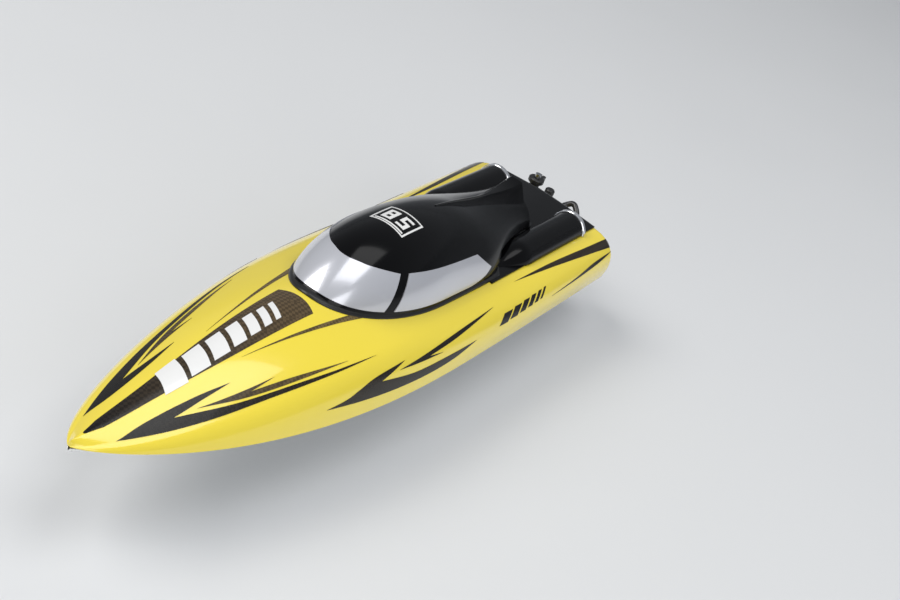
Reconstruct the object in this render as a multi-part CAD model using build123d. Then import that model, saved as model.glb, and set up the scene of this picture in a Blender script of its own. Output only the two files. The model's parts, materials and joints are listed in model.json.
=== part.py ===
from build123d import *
from math import atan2, cos, degrees, pi, radians, sin, sqrt, tan
import os

# Radio-controlled deep-V racing boat. Millimetres; X to port, Y aft, Z up.
# The origin is on the keel line, midway between the stem and the transom.

# Hull
HULL_LENGTH = 600.0
HALF_BEAM = 79.0
CHINE_HEIGHT = 31.0
BOW_RISE = 19.0
STEM_FOOT = 40.0
BOW_DECK = 54.0
BOW_EDGE = 50.5
DECK_HALF = 56.0
WALL = 2.0
TRANSOM_Y = HULL_LENGTH / 2
TRANSOM_WALL = 3.0
STATIONS = (-298.8, -291, -276, -250, -205, -150, -85, 0, 90, 190, 250, TRANSOM_Y)
INNER_STATIONS = (-262, -235, -195, -140, -80, 0, 90, 190, 250, TRANSOM_Y - TRANSOM_WALL)
LIP_GAP = 0.05

# Canopy hatch
HATCH_HALF = 48.0
HATCH_MID_Y = 40.0
HATCH_NOSE = 118.0
HATCH_SHOULDER_Y = 128.0
HATCH_WAIST_Y = 158.0
HATCH_WAIST = 27.0
HATCH_TAIL = 23.0
HATCH_END_Y = 214.0
ROOF_HEIGHT = 121.0
ROOF_PEAK_Y = 25.0
ROOF_FALL = 50.0
ROOF_BEND = 0.45
ROOF_END = 95.0
HATCH_WALL = 2.0
HATCH_LIFT_GAP = 1.6
SEAL_HEIGHT = 3.2
SEAL_WIDTH = 6.0
HATCH_STATIONS = (-76, -68, -50, -20, 20, 60, 100, 122, 132, 144, 156, 170, 190, HATCH_END_Y)
FIN_START = 72.0
FIN_END = 209.0
FIN_TOP = 106.0
FIN_WAIST = 107.5
FIN_HALF = 1.5
GLASS = 0.8
PILLAR_Y = -6.0
PILLAR_HALF = 2.2

# Rear deck and pods
COVER = 1.2
COVER_HALF = 52.0
COVER_FRONT = 116.0
POD_X = 39.0
POD_RADIUS = 14.5
POD_WALL = 1.8
POD_FRONT = 136.0
POD_FULL = 170.0
POD_END = 268.0
POD_AXIS_Z = 65.5
POD_NOSE_R = 4.5
POD_FLOOR = 62.0
RIM_STEP = 1.0
RIM_LENGTH = 3.0

# Drive line, on one straight axis through the transom
SHAFT_TILT = 5.0
SHAFT_Z = 9.0
SHAFT_R = 2.4
BUSH_R = SHAFT_R + 0.05
TUBE_R = 3.5
PROP_Y = 337.0 - TRANSOM_Y
PROP_RADIUS = 17.5
HUB_R = 4.6
MOTOR_R = 18.0
MOTOR_BACK = -188.0
MOTOR_LENGTH = 52.0

# Steering
RUDDER_X = -26.0
RUDDER_Y = 331.0
ARM = 16.0
ARM_Z = 55.0
SERVO_Y = 172.0
PIVOT_R = 1.5
FIT = 0.05
BLADE_BOTTOM = -26.0
STOCK_LOW = 38.7
STOCK_TOP = 46.3
NECK_FRONT = 7.7
ROD_R = 0.9

# Cooling water and drain
NIPPLE_R = 1.6
NIPPLE_BORE = 1.0
HOSE_R = 2.6
INLET_X = 10.0
INLET_Z = 57.0
OUTLET_X = -50.0
OUTLET_Z = 50.0
PICKUP_X = 30.0
PICKUP_Y = TRANSOM_Y + 7.5
PLUG_X = -32.0
PLUG_Z = 22.0
PLUG_R = 3.0

# Inside
TRAY_Z = 22.0
TRAY_TOP = TRAY_Z + 2.0
MAGNET_X = 10.0
MAGNET_Y = 189.0
MAGNET_R = 4.0
MAGNET_BAR_Z = 66.4
MAGNET_GAP_Z = 69.0

# Trim tabs
TAB_X = 53.0
TAB_WIDTH = 28.0
TAB_LENGTH = 24.0
TAB_THICK = 1.2
TAB_HINGE_Y = TRANSOM_Y + 5.0
DEADRISE = degrees(atan2(CHINE_HEIGHT, HALF_BEAM))

parts = {}


def clamp(value, low=0.0, high=1.0):
    return max(low, min(high, value))


def ease(value):
    value = clamp(value)
    return value * value * (3 - 2 * value)


def along(y):
    return (y + HULL_LENGTH / 2) / HULL_LENGTH


def lip(y):
    """Half-breadth and height of the lower edge of the upper shell."""
    s = along(y)
    if s < 0.6:
        x = HALF_BEAM * (1 - (1 - s / 0.6) ** 2.2) ** 0.75
    else:
        x = HALF_BEAM - 2 * ((s - 0.6) / 0.4) ** 2
    return x, CHINE_HEIGHT + BOW_RISE * max(0, 1 - s / 0.5) ** 2.4


def shoulder(y):
    """Half-breadth and height of the edge where the deck turns into the side."""
    s = along(y)
    if s < 0.45:
        x = DECK_HALF * (1 - (1 - s / 0.45) ** 2) ** 0.8
    else:
        x = DECK_HALF + 4 * ease((s - 0.5) / 0.5)
    z = BOW_EDGE + 18 * ease(s / 0.45)
    if s > 0.45:
        z -= 3 * ease((s - 0.45) / 0.25)
    return x, z


def crown(y):
    """Height of the deck on the centre line."""
    s = along(y)
    if s < 0.36:
        return BOW_DECK + 32 * sin(pi / 2 * (s / 0.36) ** 1.3)
    return BOW_DECK + 32 - 17 * ease((s - 0.36) / 0.3)


def keel(y):
    return STEM_FOOT * max(0, 1 - along(y) / 0.42) ** 2.2


def side(y, t):
    """Topside curve from the lip, t = 0, to the deck shoulder, t = 1."""
    (xl, zl), (xs, zs) = lip(y), shoulder(y)
    xc = 0.96 * xl + 10 * ease((along(y) - 0.3) / 0.7)
    zc = zl + 0.78 * (zs - zl)
    a, b, c = (1 - t) ** 2, 2 * t * (1 - t), t * t
    return a * xl + b * xc + c * xs, a * zl + b * zc + c * zs


def deck(y, x):
    xs, zs = shoulder(y)
    return crown(y) - (crown(y) - zs) * clamp(abs(x) / xs) ** 1.5


def hatch_half(y):
    """Half-width of the canopy's foot."""
    if y < HATCH_MID_Y:
        return HATCH_HALF * sqrt(max(0, 1 - ((HATCH_MID_Y - y) / HATCH_NOSE) ** 2))
    if y < HATCH_SHOULDER_Y:
        return HATCH_HALF
    if y < HATCH_WAIST_Y:
        t = (y - HATCH_SHOULDER_Y) / (HATCH_WAIST_Y - HATCH_SHOULDER_Y)
        return HATCH_HALF + (HATCH_WAIST - HATCH_HALF) * t
    t = (y - HATCH_WAIST_Y) / (HATCH_END_Y - HATCH_WAIST_Y)
    return HATCH_WAIST + (HATCH_TAIL - HATCH_WAIST) * t


def roof(y):
    """Height of the canopy's centre line, without the fin."""
    if y < ROOF_PEAK_Y:
        return ROOF_HEIGHT - 37 * ((ROOF_PEAK_Y - y) / 103) ** 2.8
    t = (y - ROOF_PEAK_Y) / (HATCH_END_Y - ROOF_PEAK_Y)
    if t < ROOF_BEND:
        return ROOF_HEIGHT - ROOF_FALL * t ** 1.8
    rest = t - ROOF_BEND
    bend = ROOF_HEIGHT - ROOF_FALL * ROOF_BEND ** 1.8
    slope = 1.8 * ROOF_FALL * ROOF_BEND ** 0.8
    end = bend - slope * (1 - ROOF_BEND)
    return bend - slope * rest + (ROOF_END - end) * (rest / (1 - ROOF_BEND)) ** 2


def canopy_height(y, x, inset=0.0):
    half = hatch_half(y)
    foot = deck(y, half)
    arch = (1 - clamp(abs(x) / half) ** 2) ** 0.8
    return foot + (roof(y) - foot) * arch - inset


def upper_section(y, inset):
    rows = [side(y, t / 4) for t in range(5)]
    port = [(x - inset, y, z - inset * t / 4) for t, (x, z) in enumerate(rows)]
    starboard = [(-x, py, z) for x, py, z in port]
    half = port[-1][0]
    top = [(half * k / 3, y, deck(y, half * k / 3) - inset) for k in range(3, -4, -1)]
    port[-1] = top[0]
    starboard[-1] = top[-1]
    foot = LIP_GAP - inset
    low_port = (port[0][0], y, port[0][2] + foot)
    low_starboard = (starboard[0][0], y, starboard[0][2] + foot)
    port[0] = low_port
    starboard[0] = low_starboard
    edges = [Spline(*port), Spline(*top), Spline(*reversed(starboard))]
    edges.append(Line(low_starboard, low_port))
    return Face(Wire(edges))


def lower_section(y, inset):
    xl, zl = lip(y)
    zk = keel(y)
    half = xl - 0.6 - inset
    lift = inset / cos(radians(DEADRISE))
    slope = (zl - zk) / xl

    def line(x):
        return zk + slope * x + lift

    outline = [(0.0, line(0))]
    if not inset:
        for place in (0.36, 0.68):
            step = 0.06 * half
            outline.append((place * half, line(place * half)))
            outline.append((place * half + step, line(place * half)))
            outline.append((place * half + step, line(place * half + step)))
    outline.append((half, line(half)))
    if inset:
        outline.append((half, zl + 4))
    else:
        outline[-1] = (half, zl)
    mirrored = [(-x, z) for x, z in reversed(outline) if x]
    return make_face(Polyline(*[(x, y, z) for x, z in outline + mirrored], close=True))


def upper_body(inset=0.0):
    return loft([upper_section(y, inset) for y in (INNER_STATIONS if inset else STATIONS)])


def lower_body(inset=0.0):
    return loft([lower_section(y, inset) for y in (INNER_STATIONS if inset else STATIONS)])


def hatch_plan(inset=0.0, low=40.0, high=130.0):
    """Upright block over the canopy's plan outline."""
    half, nose = HATCH_HALF - inset, HATCH_NOSE - inset
    front = EllipticalCenterArc((0, HATCH_MID_Y), half, nose, start_angle=180, arc_size=180)
    back = Polyline(
        (half, HATCH_MID_Y),
        (half, HATCH_SHOULDER_Y),
        (HATCH_WAIST - inset, HATCH_WAIST_Y),
        (HATCH_TAIL - inset, HATCH_END_Y - inset),
        (inset - HATCH_TAIL, HATCH_END_Y - inset),
        (inset - HATCH_WAIST, HATCH_WAIST_Y),
        (-half, HATCH_SHOULDER_Y),
        (-half, HATCH_MID_Y),
    )
    return Pos(0, 0, low) * extrude(make_face([front, back]), high - low)


def box(x0, x1, y0, y1, z0, z1):
    return Pos((x0 + x1) / 2, (y0 + y1) / 2, (z0 + z1) / 2) * Box(x1 - x0, y1 - y0, z1 - z0)


def rod(x, z, y0, y1, radius):
    """Cylinder along Y."""
    return Pos(x, (y0 + y1) / 2, z) * Rot(90, 0, 0) * Cylinder(radius, y1 - y0)


def post(x, y, z0, z1, radius):
    return Pos(x, y, (z0 + z1) / 2) * Cylinder(radius, z1 - z0)


def on_shaft(shape):
    """Moves a piece made along Y, with y = 0 at the transom, onto the drive axis."""
    return Pos(0, TRANSOM_Y, SHAFT_Z) * Rot(-SHAFT_TILT, 0, 0) * shape


def mirror_x(shape):
    return mirror(shape, Plane.YZ)


def turned(points):
    """Solid turned round the Y axis from (radius, y) points."""
    return revolve(make_face(Polyline(*points, close=True)), Axis.Y)


# ------------------------------------------------------------------ hull shells
upper = upper_body()
lower = lower_body()
cavity_top = upper_body(WALL)
cavity_low = lower_body(WALL)


def shells():
    hatch_hole = hatch_plan(SEAL_WIDTH + 1)
    holes = [
        on_shaft(rod(0, 0, -12, 12, TUBE_R + FIT)),
        rod(RUDDER_X + ARM - 1.1, ARM_Z, TRANSOM_Y - 8, TRANSOM_Y + 8, 3.6),
        rod(INLET_X, INLET_Z, TRANSOM_Y - 8, TRANSOM_Y + 8, NIPPLE_R),
        rod(OUTLET_X, OUTLET_Z, TRANSOM_Y - 8, TRANSOM_Y + 8, NIPPLE_R),
        rod(PLUG_X, PLUG_Z, TRANSOM_Y - 8, TRANSOM_Y + 8, PLUG_R + FIT),
    ]
    bottom = lower - cavity_low
    top = upper - cavity_top - hatch_hole
    for hole in holes:
        bottom -= hole
        top -= hole
    parts["hull_bottom"] = bottom
    parts["deck_shell"] = top


def rear_deck():
    raised = Pos(0, 0, COVER) * upper
    area = box(-COVER_HALF, COVER_HALF, COVER_FRONT, TRANSOM_Y - 0.5, 50, 90)
    cover = (raised & area) - upper - hatch_plan(-0.6)
    parts["rear_deck_cover"] = cover.solids().sort_by(SortBy.VOLUME)[-1]
    nose = [(0.01, POD_FRONT), (POD_NOSE_R, POD_FRONT), (POD_RADIUS, POD_FULL), (POD_RADIUS, POD_END)]
    nose.append((0.01, POD_END))
    inner = POD_RADIUS - POD_WALL
    hollow = [(0.01, POD_FULL), (inner, POD_FULL + 8), (inner, POD_END + 2), (0.01, POD_END + 2)]
    axis = Pos(POD_X, 0, POD_AXIS_Z)
    pod = axis * (turned(nose) - turned(hollow))
    below = box(0, 90, 100, 290, 0, POD_FLOOR)
    pod = pod - below - raised
    pod = pod - hatch_plan(-2.6)
    pod = pod.solids().sort_by(SortBy.VOLUME)[-1]
    parts["engine_pod_port"] = pod
    parts["engine_pod_starboard"] = mirror_x(pod)
    outer = POD_RADIUS + RIM_STEP
    ring = [(inner, POD_END), (outer, POD_END), (outer, POD_END + RIM_LENGTH), (inner, POD_END + RIM_LENGTH)]
    rim = axis * turned(ring) - raised - below
    parts["pod_rims"] = Compound(children=[rim.solids()[0], mirror_x(rim).solids()[0]])


# ------------------------------------------------------------------ canopy hatch
def canopy_section(y, inset):
    half = hatch_half(y) - inset
    foot = deck(y, hatch_half(y)) - inset
    steps = 8
    points = []
    for k in range(steps + 1):
        angle = pi * k / steps
        x = half * cos(angle)
        points.append((x, y, canopy_height(y, x * hatch_half(y) / half, inset)))
    points[0] = (half, y, foot)
    points[-1] = (-half, y, foot)
    low = 55.0
    edges = [Line((half, y, low), points[0]), Spline(*points)]
    edges.append(Line(points[-1], (-half, y, low)))
    edges.append(Line((-half, y, low), (half, y, low)))
    return Face(Wire(edges))


def canopy_body(inset=0.0):
    stations = list(HATCH_STATIONS)
    if inset:
        stations = [y for y in stations if -60 < y < HATCH_END_Y] + [HATCH_END_Y - 4]
    return loft([canopy_section(y, inset) for y in stations])


def fin():
    def section(y, top, base):
        low = roof(y) - 4
        corners = [(-base, y, low), (-FIN_HALF, y, top), (FIN_HALF, y, top), (base, y, low)]
        return make_face(Polyline(*corners, close=True))

    return loft([
        section(FIN_START, roof(FIN_START) + 0.3, 3),
        section((FIN_START + FIN_END) / 2, FIN_WAIST, 6),
        section(FIN_END, FIN_TOP, 8),
    ])


def canopy():
    skin = canopy_body()
    raised = Pos(0, 0, HATCH_LIFT_GAP) * upper
    hollow = canopy_body(HATCH_WALL + 1)
    shell = skin - raised - hollow + (fin() - hollow)
    z0 = MAGNET_GAP_Z + 2.8
    bridge = box(-30, 30, MAGNET_Y - 5, MAGNET_Y + 5, z0, z0 + 2) & canopy_body(HATCH_WALL + 0.6)
    shell += bridge
    shell = shell.solids().sort_by(SortBy.VOLUME)[-1]
    parts["canopy"] = shell
    seal = hatch_plan(-1.5) - hatch_plan(SEAL_WIDTH - 1.5)
    seal = (seal & (Pos(0, 0, SEAL_HEIGHT) * upper)) - upper - skin - parts["rear_deck_cover"]
    for name in ("engine_pod_port", "engine_pod_starboard"):
        seal -= parts[name]
    parts["hatch_seal"] = seal.solids().sort_by(SortBy.VOLUME)[-1]


def windows():
    skin = canopy_body()
    glass = (Pos(0, -0.5, GLASS) * skin) - skin - (Pos(0, 0, SEAL_HEIGHT + 1) * upper)
    ahead, behind = PILLAR_Y - PILLAR_HALF, PILLAR_Y + PILLAR_HALF
    front = make_face(Polyline((-90, 60), (-90, 100), (-46, 110), (ahead, 101), (ahead, 60), close=True))
    sill = [(behind, 60), (behind, 101), (50, 99), (92, 90), (112, 78), (112, 60)]
    rear = make_face(Polyline(*sill, close=True))

    def slab(face):
        return extrude(Plane.YZ * face, 80, both=True)

    shield = glass & slab(front)
    parts["windshield"] = shield.solids().sort_by(SortBy.VOLUME)[-1]
    sides = (glass & slab(rear)).solids().sort_by(Axis.X)
    parts["side_window_starboard"] = sides[0]
    parts["side_window_port"] = sides[-1]


# ------------------------------------------------------------------ drive line
def blade(angle):
    """One twisted blade, drawn as a loft of three thin chords."""
    chords = []
    for radius, chord, pitch in ((HUB_R - 1.2, 7.0, 58), (11.0, 12.0, 40), (PROP_RADIUS, 6.0, 28)):
        chord_line = (cos(radians(pitch)), sin(radians(pitch)), 0)
        base = Plane(origin=(0, PROP_Y, radius), x_dir=chord_line, z_dir=(0, 0, 1))
        chords.append(base * Rectangle(chord, 1.0))
    return Rot(0, angle, 0) * loft(chords)


def drive_line():
    parts["drive_shaft"] = on_shaft(rod(0, 0, -164, PROP_Y + 14, SHAFT_R))
    bore = rod(0, 0, -200, 80, SHAFT_R)
    profile = [(SHAFT_R, PROP_Y - 6), (HUB_R, PROP_Y - 6), (HUB_R, PROP_Y + 4)]
    profile += [(3.6, PROP_Y + 7), (SHAFT_R, PROP_Y + 7)]
    hub = turned(profile)
    propeller = hub
    for k in range(3):
        propeller += blade(120 * k) - rod(0, 0, -200, 80, SHAFT_R + 0.6)
    parts["propeller"] = on_shaft(propeller)
    parts["drive_dog"] = on_shaft(rod(0, 0, PROP_Y - 10, PROP_Y - 6, 4.2) - bore)
    nut = Pos(0, PROP_Y + 9, 0) * Rot(90, 0, 0) * extrude(RegularPolygon(4.0, 6), 2, both=True)
    parts["prop_nut"] = on_shaft(nut - bore)
    parts["stuffing_tube"] = on_shaft(rod(0, 0, -150, 3, TUBE_R) - rod(0, 0, -160, 10, BUSH_R))
    barrel = rod(0, 0, 3, PROP_Y - 12, 5.6) - rod(0, 0, 0, 60, 4.02)
    strut = on_shaft(barrel)
    plate = box(-7, 7, TRANSOM_Y, TRANSOM_Y + 3, 6, 36)
    gusset = box(-1.5, 1.5, TRANSOM_Y + 2, TRANSOM_Y + 20, 12, 30)
    wedge = Pos(0, TRANSOM_Y + 24, 34) * Rot(-38, 0, 0) * Box(10, 46, 20)
    strut = strut + plate + (gusset - wedge) - on_shaft(rod(0, 0, -4, 60, 4.02))
    for x in (-4.5, 4.5):
        strut -= rod(x, 32, TRANSOM_Y - 1, TRANSOM_Y + 4, 1.2)
    parts["drive_strut"] = strut
    parts["strut_bush"] = on_shaft(rod(0, 0, 3.2, PROP_Y - 11.5, 4.0) - rod(0, 0, 0, 60, BUSH_R))
    front = MOTOR_BACK - MOTOR_LENGTH
    can = rod(0, 0, front, MOTOR_BACK, MOTOR_R) - rod(0, 0, front + 3, MOTOR_BACK + 1, 2.6)
    parts["motor"] = on_shaft(can)
    parts["motor_shaft"] = on_shaft(rod(0, 0, front + 4, MOTOR_BACK + 14, 2.5))
    coupler = rod(0, 0, MOTOR_BACK + 4, -152, 6) - rod(0, 0, MOTOR_BACK, MOTOR_BACK + 14, 2.5)
    parts["shaft_coupler"] = on_shaft(coupler - rod(0, 0, -164, -140, SHAFT_R))
    jacket = rod(0, 0, front + 8, MOTOR_BACK - 8, MOTOR_R + 2.4) - rod(0, 0, front, MOTOR_BACK, MOTOR_R)
    parts["cooling_jacket"] = on_shaft(jacket)
    mount = box(-23, 23, MOTOR_BACK, MOTOR_BACK + 3, -40, 22) - rod(0, 0, MOTOR_BACK - 5, MOTOR_BACK + 9, 7)
    for x in (-12, 12):
        mount -= rod(x, 0, MOTOR_BACK - 5, MOTOR_BACK + 9, 1.55)
    parts["motor_mount"] = on_shaft(mount) & cavity_low
    screws = []
    for x in (-12, 12):
        screw = rod(x, 0, MOTOR_BACK + 3, MOTOR_BACK + 5, 2.8) + rod(x, 0, MOTOR_BACK, MOTOR_BACK + 3, 1.5)
        screws.append(on_shaft(screw).solids()[0])
    parts["motor_screws"] = Compound(children=screws)


# ------------------------------------------------------------------ steering and stern fittings
def steering():
    plate = box(RUDDER_X - 9, RUDDER_X + 9, TRANSOM_Y, TRANSOM_Y + 3, 33, 52)
    arms = box(RUDDER_X - 5, RUDDER_X + 5, TRANSOM_Y + 3, RUDDER_Y + 5, 35, 50)
    slot = box(RUDDER_X - 6, RUDDER_X + 6, RUDDER_Y - 9, RUDDER_Y + 6, STOCK_LOW - 0.3, STOCK_TOP + 0.3)
    bracket = plate + arms - slot - post(RUDDER_X, RUDDER_Y, 30, 60, PIVOT_R + FIT)
    for x in (RUDDER_X - 7, RUDDER_X + 7):
        bracket -= rod(x, 43, TRANSOM_Y - 1, TRANSOM_Y + 4, 1.2)
    parts["rudder_bracket"] = bracket
    x0, x1 = RUDDER_X - 3.5, RUDDER_X + 3.5
    stock = box(x0, x1, RUDDER_Y - 5, RUDDER_Y + NECK_FRONT, STOCK_LOW, STOCK_TOP)
    profile = Polyline(
        (RUDDER_Y - 12, 33.0),
        (RUDDER_Y + 13, 33.0),
        (RUDDER_Y + 19, BLADE_BOTTOM + 8),
        (RUDDER_Y + 15, BLADE_BOTTOM),
        (RUDDER_Y - 5, BLADE_BOTTOM),
        close=True,
    )
    foil = Pos(RUDDER_X, 0, 0) * extrude(Plane.YZ * make_face(profile), 1.6, both=True)
    neck = box(x0, x1, RUDDER_Y + NECK_FRONT, RUDDER_Y + NECK_FRONT + 6, 24, STOCK_TOP)
    parts["rudder_blade"] = stock + neck + foil - post(RUDDER_X, RUDDER_Y, 30, 60, PIVOT_R)
    pin = post(RUDDER_X, RUDDER_Y, 34.2, 63, PIVOT_R) + post(RUDDER_X, RUDDER_Y, 63, 66, 2.8)
    parts["rudder_pivot_pin"] = pin
    arm = post(RUDDER_X, RUDDER_Y, 50.3, 57, 4.5)
    arm += box(RUDDER_X, RUDDER_X + ARM, RUDDER_Y - 3, RUDDER_Y + 3, ARM_Z - 4.4, ARM_Z - 2)
    arm += post(RUDDER_X + ARM, RUDDER_Y, ARM_Z - 4.4, ARM_Z - 2, 3)
    arm -= post(RUDDER_X, RUDDER_Y, 40, 64, PIVOT_R)
    arm -= post(RUDDER_X + ARM, RUDDER_Y, 40, 64, ROD_R + FIT)
    parts["rudder_tiller"] = arm
    rod_x = RUDDER_X + ARM
    line = rod(rod_x, ARM_Z, SERVO_Y, RUDDER_Y, ROD_R)
    for y in (SERVO_Y, RUDDER_Y):
        line += post(rod_x, y, ARM_Z - 5.5, ARM_Z + ROD_R, ROD_R)
    parts["pushrod"] = line
    boot = [(3.0, 300), (6.2, 300), (6.2, 302), (4.8, 303)]
    for k in range(3):
        boot += [(5.8 - 0.5 * k, 304.5 + 3 * k), (4.6 - 0.3 * k, 306 + 3 * k)]
    boot += [(3.0, 312.5)]
    parts["pushrod_boot"] = Pos(rod_x - 1.1, 0, ARM_Z) * turned(boot)


def servo():
    low, high = 26.0, 48.0
    x0, x1 = RUDDER_X - 10, RUDDER_X + 10
    case = box(x0, x1, SERVO_Y - 14, SERVO_Y + 26, low, high)
    case += post(RUDDER_X, SERVO_Y, high, high + 1.5, 5)
    flange = box(x0, x1, SERVO_Y - 21, SERVO_Y + 33, high - 9, high - 6.6)
    for y in (SERVO_Y - 17.5, SERVO_Y + 29.5):
        flange -= post(RUDDER_X, y, 30, 50, 1.6)
    parts["steering_servo"] = case + flange - post(RUDDER_X, SERVO_Y, high - 6, high + 3, 2.05)
    mounts = []
    for y0, y1 in ((SERVO_Y - 21, SERVO_Y - 14), (SERVO_Y + 26, SERVO_Y + 33)):
        leg = box(x0, x1, y0, y1, 0, high - 9) & cavity_low
        leg += box(x0, x1, y0, y1, 30, high - 9)
        leg -= post(RUDDER_X, (y0 + y1) / 2, 28, 50, 1.2)
        mounts.append(leg.solids()[0])
    parts["servo_mounts"] = Compound(children=mounts)
    spline = post(RUDDER_X, SERVO_Y, high - 5, high + 4, 2.0)
    horn = post(RUDDER_X, SERVO_Y, high + 1.8, high + 5, 4.2)
    horn += box(RUDDER_X, RUDDER_X + ARM, SERVO_Y - 2.5, SERVO_Y + 2.5, ARM_Z - 4.4, ARM_Z - 2)
    horn += post(RUDDER_X + ARM, SERVO_Y, ARM_Z - 4.4, ARM_Z - 2, 2.5)
    horn -= post(RUDDER_X + ARM, SERVO_Y, 40, 64, ROD_R + FIT)
    parts["servo_output_shaft"] = spline
    horn -= post(RUDDER_X, SERVO_Y, 40, high + 4, 2.0)
    parts["servo_horn"] = horn - post(RUDDER_X, SERVO_Y, 40, 60, 1.2)
    screw = post(RUDDER_X, SERVO_Y, high + 4, high + 5, 1.2)
    parts["horn_screw"] = screw + post(RUDDER_X, SERVO_Y, high + 5, high + 7, 2.6)


def trim_tabs():
    centre = Pos(TAB_X, 0, TAB_X * CHINE_HEIGHT / HALF_BEAM + 3.6) * Rot(0, -DEADRISE, 0)
    half = TAB_WIDTH / 2
    axle = Pos(0, TAB_HINGE_Y, 0) * Rot(0, 90, 0)
    eyes, pins = [], []
    tab = box(-half, half, TAB_HINGE_Y + 2.2, TAB_HINGE_Y + TAB_LENGTH, -TAB_THICK, 0)
    knuckle = axle * Cylinder(1.9, 12) + box(-6, 6, TAB_HINGE_Y, TAB_HINGE_Y + 3, -TAB_THICK, 0)
    knuckle -= axle * Cylinder(1.0, 40)
    tab = tab + knuckle
    leaf = box(-half, half, TRANSOM_Y, TRANSOM_Y + 1.2, -2, 9)
    for x in (-9.5, 9.5):
        leaf += Pos(x, 0, 0) * (axle * Cylinder(1.9, 6))
        leaf += box(x - 3, x + 3, TRANSOM_Y + 1, TAB_HINGE_Y, 0.4, 1.6)
        leaf -= Pos(x, TRANSOM_Y, 5.5) * Rot(90, 0, 0) * Cylinder(1.2, 6)
    leaf -= axle * Cylinder(1.0 + FIT, 40)
    pin = axle * Cylinder(1.0, TAB_WIDTH - 2)
    parts["trim_tab_port"] = centre * tab
    parts["trim_tab_starboard"] = mirror_x(centre * tab)
    for shape, group in ((centre * leaf, eyes), (centre * pin, pins)):
        group.append(shape.solids()[0])
        group.append(mirror_x(shape).solids()[0])
    parts["trim_tab_hinges"] = Compound(children=eyes)
    parts["trim_tab_pins"] = Compound(children=pins)


def fasteners():
    screws = []
    spots = [(RUDDER_X - 7, 43), (RUDDER_X + 7, 43), (-4.5, 32), (4.5, 32)]
    for x, z in spots:
        head = rod(x, z, TRANSOM_Y + 3, TRANSOM_Y + 4.6, 1.9)
        screws.append((head + rod(x, z, TRANSOM_Y, TRANSOM_Y + 3, 1.2)).solids()[0])
    parts["transom_screws"] = Compound(children=screws)


# ------------------------------------------------------------------ cooling water
def corner_radii(points):
    """Largest arc at each corner that leaves a short straight between two arcs."""
    radii = []
    for a, b, c in zip(points, points[1:], points[2:]):
        first, second = Vector(*b) - Vector(*a), Vector(*c) - Vector(*b)
        turn = radians(first.get_angle(second))
        radii.append(0.45 * min(first.length, second.length) / tan(turn / 2))
    return radii


def hose(points):
    """Tube along straight runs joined by tangent arcs."""
    path = FilletPolyline(*points, radius=corner_radii(points))
    plane = Plane(origin=path @ 0, z_dir=path % 0)
    ring = plane * (Circle(HOSE_R) - Circle(NIPPLE_R))
    return sweep(ring, path)


def nipple(x, z, end):
    """Hose nipple through the transom, with a collar against it."""
    outline = [
        (NIPPLE_BORE, TRANSOM_Y - 9),
        (NIPPLE_R, TRANSOM_Y - 9),
        (NIPPLE_R, TRANSOM_Y),
        (3.6, TRANSOM_Y),
        (3.6, TRANSOM_Y + 2.4),
        (NIPPLE_R, TRANSOM_Y + 2.4),
        (NIPPLE_R, end),
        (NIPPLE_BORE, end),
    ]
    return Pos(x, 0, z) * turned(outline)


def cooling():
    parts["water_outlet"] = nipple(OUTLET_X, OUTLET_Z, TRANSOM_Y + 11)
    parts["water_inlet"] = nipple(INLET_X, INLET_Z, TRANSOM_Y + 8)
    pickup = box(PICKUP_X - 4, PICKUP_X + 4, TRANSOM_Y, TRANSOM_Y + 3, 17, 32)
    pickup += box(PICKUP_X - 1.2, PICKUP_X + 1.2, TRANSOM_Y + 2, PICKUP_Y, 18, 28)
    pickup += post(PICKUP_X, PICKUP_Y, -8, 34, NIPPLE_R)
    pickup -= post(PICKUP_X, PICKUP_Y, -10, 36, NIPPLE_BORE)
    parts["water_pickup"] = pickup
    parts["pickup_hose"] = hose([
        (PICKUP_X, PICKUP_Y, 29),
        (PICKUP_X, PICKUP_Y, 45),
        (PICKUP_X - 3, PICKUP_Y + 9, 59),
        (PICKUP_X - 12, PICKUP_Y + 15, 64),
        (INLET_X + 2, PICKUP_Y + 13, 59),
        (INLET_X, PICKUP_Y + 4, INLET_Z),
        (INLET_X, TRANSOM_Y + 2.6, INLET_Z),
    ])
    parts["inlet_hose"] = hose([
        (INLET_X, TRANSOM_Y - 5, INLET_Z),
        (INLET_X, TRANSOM_Y - 24, INLET_Z),
        (24, TRANSOM_Y - 60, 52),
        (34, TRANSOM_Y - 110, 48),
        (33, 148, 50),
        (24, 116, 58),
        (9, 100, 64),
        (9, 100, 49),
    ])
    parts["outlet_hose"] = hose([
        (-9, 80, 49),
        (-9, 80, 62),
        (-22, 92, 66),
        (-40, 124, 58),
        (-47, 170, 50),
        (-48, 225, 47),
        (OUTLET_X, TRANSOM_Y - 26, OUTLET_Z),
        (OUTLET_X, TRANSOM_Y - 5, OUTLET_Z),
    ])
    jacket = parts["cooling_jacket"]
    shape = parts["motor"]
    for x, y in ((9, 100), (-9, 80)):
        stub = post(x, y, 40, 53, NIPPLE_R) - shape
        jacket += stub.solids().sort_by(Axis.Z)[-1]
    parts["cooling_jacket"] = jacket
    plug = rod(PLUG_X, PLUG_Z, TRANSOM_Y - 4, TRANSOM_Y, PLUG_R)
    parts["drain_plug"] = plug + rod(PLUG_X, PLUG_Z, TRANSOM_Y, TRANSOM_Y + 3, 5)


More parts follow.
